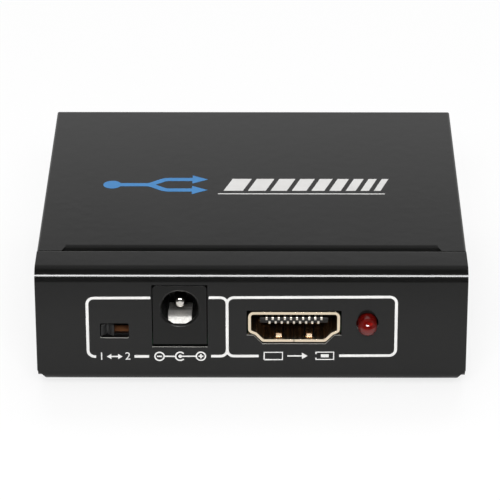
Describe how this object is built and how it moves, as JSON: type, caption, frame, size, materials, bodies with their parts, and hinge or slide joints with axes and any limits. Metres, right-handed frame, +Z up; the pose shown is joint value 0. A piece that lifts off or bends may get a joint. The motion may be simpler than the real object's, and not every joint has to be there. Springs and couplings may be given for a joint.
{
  "type": "hdmi splitter",
  "caption": "Flat black folded-steel box that copies one digital video signal to two outputs, with a barrel power jack, a slide switch and status lamps.",
  "frame": {"origin": "on the surface it stands on, under the middle of the case", "axes": "+X to the right seen from the front, +Y to the back, +Z up"},
  "size_m": [0.0706, 0.0702, 0.0225],
  "materials": {
    "case_paint": "satin black baked enamel",
    "black_screw": "black-oxide steel",
    "plated_steel": "bright nickel or zinc plating",
    "foot_rubber": "matt black rubber",
    "board_laminate": "green solder mask",
    "chip_epoxy": "moulded epoxy",
    "tinned_copper": "tin-plated copper",
    "ferrite": "dark ferrite",
    "capacitor_can": "bare aluminium can",
    "ceramic": "tan ceramic",
    "jack_plastic": "moulded black plastic",
    "brown_laminate": "brown paper laminate",
    "knob_plastic": "moulded black plastic",
    "gold_contact": "gold-flashed bronze",
    "gilt_shell": "thin gold flash over nickel",
    "port_plastic": "moulded black liquid-crystal polymer",
    "red_resin": "red diffused resin"
  },
  "bodies": {
    "chassis": {"base_tray": "case_paint", "board_screws": "plated_steel", "board_standoffs": "plated_steel", "ceramic_capacitors": "ceramic", "chip_leads": "tinned_copper", "clock_crystal": "plated_steel", "cover_screws": "black_screw", "filter_capacitors": "capacitor_can", "input_port_contacts": "gold_contact", "input_port_insulator": "port_plastic", "input_port_shell": "gilt_shell", "jack_centre_pin": "plated_steel", "jack_housing": "jack_plastic", "jack_sleeve_spring": "plated_steel", "jack_switch_contact": "plated_steel", "line_resistors": "ceramic", "main_board": "board_laminate", "memory_chip": "chip_epoxy", "output_1_led_leads": "tinned_copper", "output_1_led_lens": "red_resin", "output_1_port_contacts": "gold_contact", "output_1_port_insulator": "port_plastic", "output_1_port_shell": "gilt_shell", "output_2_led_leads": "tinned_copper", "output_2_led_lens": "red_resin", "output_2_port_contacts": "gold_contact", "output_2_port_insulator": "port_plastic", "output_2_port_shell": "gilt_shell", "power_diode": "chip_epoxy", "power_inductor": "ferrite", "power_led_leads": "tinned_copper", "power_led_lens": "red_resin", "rubber_feet": "foot_rubber", "splitter_chip": "chip_epoxy", "switch_base": "brown_laminate", "switch_frame": "plated_steel", "switch_terminals": "tinned_copper", "top_cover": "case_paint", "voltage_regulator": "chip_epoxy"},
    "mode_slider": {"switch_knob": "knob_plastic", "switch_wiper": "gold_contact"}
  },
  "joints": [
    {"name": "mode_slide", "type": "slide", "parent": "chassis", "child": "mode_slider", "axis": [1, 0, 0], "range_m": [0, 0.0023]}
  ]
}
